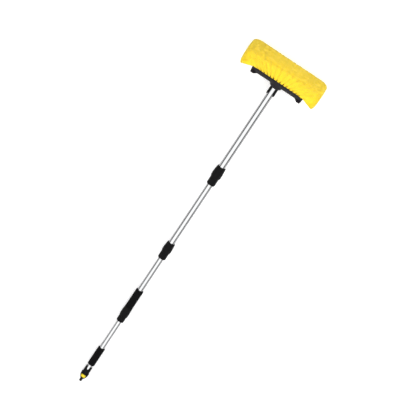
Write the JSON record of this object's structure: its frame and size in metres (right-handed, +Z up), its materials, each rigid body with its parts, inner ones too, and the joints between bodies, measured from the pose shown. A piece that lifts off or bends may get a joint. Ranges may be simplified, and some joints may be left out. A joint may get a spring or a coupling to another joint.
{
  "type": "telescopic wash brush",
  "caption": "Wash brush: splayed bristle head on a telescopic water-fed pole with twist locks, foam grips and a turning hose valve.",
  "frame": {"origin": "bottom centre of the whole brush as it lies on the floor, on the long side of its bristles and on the hose valve", "axes": "+X towards the bristle head, nearly along the pole, +Y along the head, +Z up"},
  "size_m": [1.3934, 0.298, 0.1336],
  "materials": {
    "bristle_yellow": "flagged polypropylene bristle, satin",
    "block_black": "grained moulded plastic",
    "bumper_black": "soft moulded rubber, low sheen",
    "tube_silver": "drawn and anodised, satin",
    "lock_black": "moulded plastic with grip flutes",
    "grip_foam": "closed-cell foam",
    "seal_rubber": "plain rubber",
    "inner_plastic": "natural acetal",
    "ring_yellow": "moulded yellow plastic",
    "rivet_steel": "domed rivet"
  },
  "bodies": {
    "root": {"brush_block": "block_black", "bumper_rim": "bumper_black", "tuft_row_1": "bristle_yellow", "tuft_row_2": "bristle_yellow", "tuft_row_3": "bristle_yellow", "tuft_row_4": "bristle_yellow", "tuft_row_5": "bristle_yellow", "socket_collar": "lock_black", "socket_seal": "seal_rubber", "strap_rivet_left": "rivet_steel", "strap_rivet_right": "rivet_steel", "tube_1": "tube_silver", "lock_a_barrel": "lock_black", "lock_a_packing": "seal_rubber", "lock_a_collet": "inner_plastic"},
    "nut_a": {"lock_a_nut": "lock_black"},
    "section_2": {"tube_2": "tube_silver", "tail_bush_2": "inner_plastic", "lock_b_barrel": "lock_black", "lock_b_packing": "seal_rubber", "lock_b_collet": "inner_plastic"},
    "nut_b": {"lock_b_nut": "lock_black"},
    "section_3": {"tube_3": "tube_silver", "tail_bush_3": "inner_plastic", "lock_c_barrel": "lock_black", "lock_c_packing": "seal_rubber", "lock_c_collet": "inner_plastic", "foam_grip_upper": "grip_foam"},
    "nut_c": {"lock_c_nut": "lock_black"},
    "section_4": {"tube_4": "tube_silver", "tail_bush_4": "inner_plastic", "foam_grip_lower": "grip_foam", "valve_body": "lock_black", "valve_seat": "inner_plastic", "valve_retainer": "lock_black", "rotor_seal": "seal_rubber"},
    "hose_end": {"valve_rotor": "inner_plastic", "valve_ring": "ring_yellow", "hose_nipple": "lock_black", "nipple_seal": "seal_rubber"}
  },
  "joints": [
    {"name": "nut_a_turn", "type": "hinge", "parent": "root", "child": "nut_a", "pos_m": [0.20222, 0, 0.04858], "axis": [0.9992, 0, 0.0395], "range_deg": [-90, 0]},
    {"name": "section_2_slide", "type": "slide", "parent": "root", "child": "section_2", "axis": [0.9992, 0, 0.0395], "range_m": [-0.02, 0.253]},
    {"name": "nut_b_turn", "type": "hinge", "parent": "section_2", "child": "nut_b", "pos_m": [-0.12433, 0, 0.03568], "axis": [0.9992, 0, 0.0395], "range_deg": [-90, 0]},
    {"name": "section_3_slide", "type": "slide", "parent": "section_2", "child": "section_3", "axis": [0.9992, 0, 0.0395], "range_m": [-0.02, 0.141]},
    {"name": "nut_c_turn", "type": "hinge", "parent": "section_3", "child": "nut_c", "pos_m": [-0.41021, 0, 0.02439], "axis": [0.9992, 0, 0.0395], "range_deg": [-90, 0]},
    {"name": "section_4_slide", "type": "slide", "parent": "section_3", "child": "section_4", "axis": [0.9992, 0, 0.0395], "range_m": [-0.02, 0.121]},
    {"name": "valve_turn", "type": "hinge", "parent": "section_4", "child": "hose_end", "pos_m": [-0.67125, 0, 0.01407], "axis": [0.9992, 0, 0.0395], "range_deg": [0, 90]}
  ]
}
